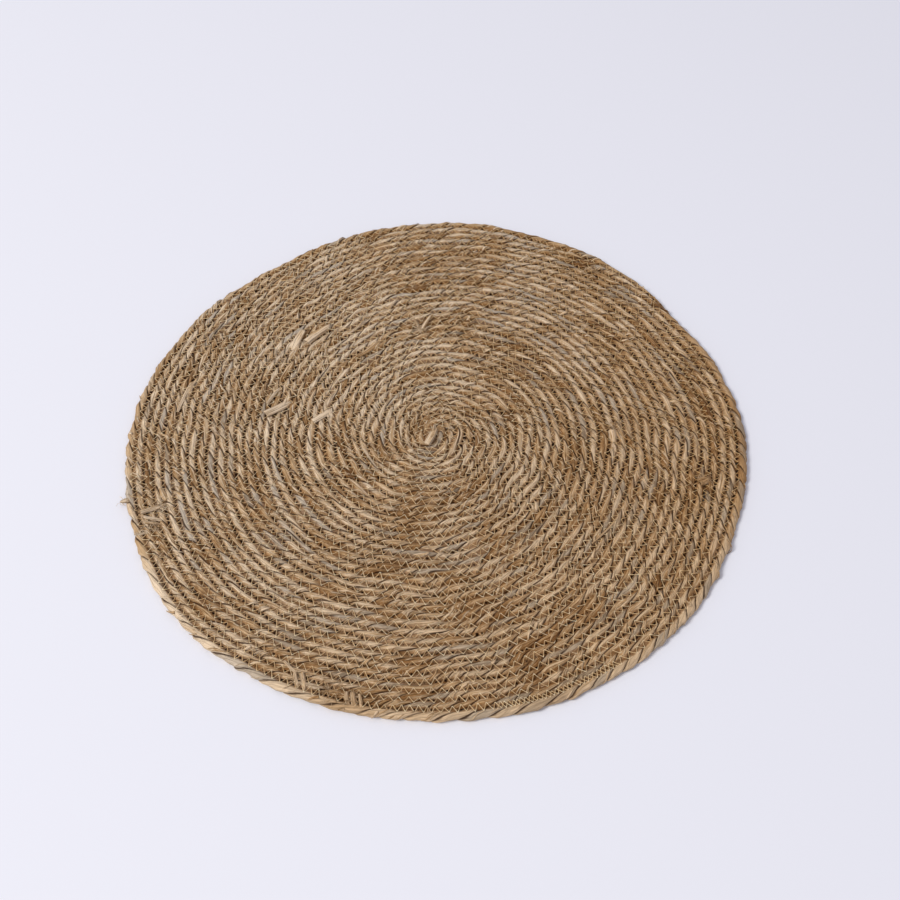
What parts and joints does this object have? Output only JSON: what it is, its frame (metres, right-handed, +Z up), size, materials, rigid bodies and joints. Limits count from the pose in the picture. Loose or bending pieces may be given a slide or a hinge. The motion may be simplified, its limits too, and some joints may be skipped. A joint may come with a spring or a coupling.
{
  "type": "round palm leaf placemat",
  "caption": "Flat round placemat of twisted palm-leaf cord, coiled in a spiral and sewn turn to turn with zigzag thread.",
  "frame": {"origin": "middle of the coil, on the flat underside", "axes": "+Z up out of the mat's face, +Y to the far edge and +X to the right as seen from the near edge; the cord's outer end lies 33 degrees from +X towards +Y"},
  "size_m": [0.3815, 0.3805, 0.005],
  "materials": {
    "palm_leaf": "dry twisted palm leaf in light tan and mid brown strips, matte with a faint waxy sheen",
    "sewing_thread": "thin pale straw-coloured sewing thread, matte"
  },
  "bodies": {
    "root": {"coiled_cord": "palm_leaf"}
  },
  "joints": []
}
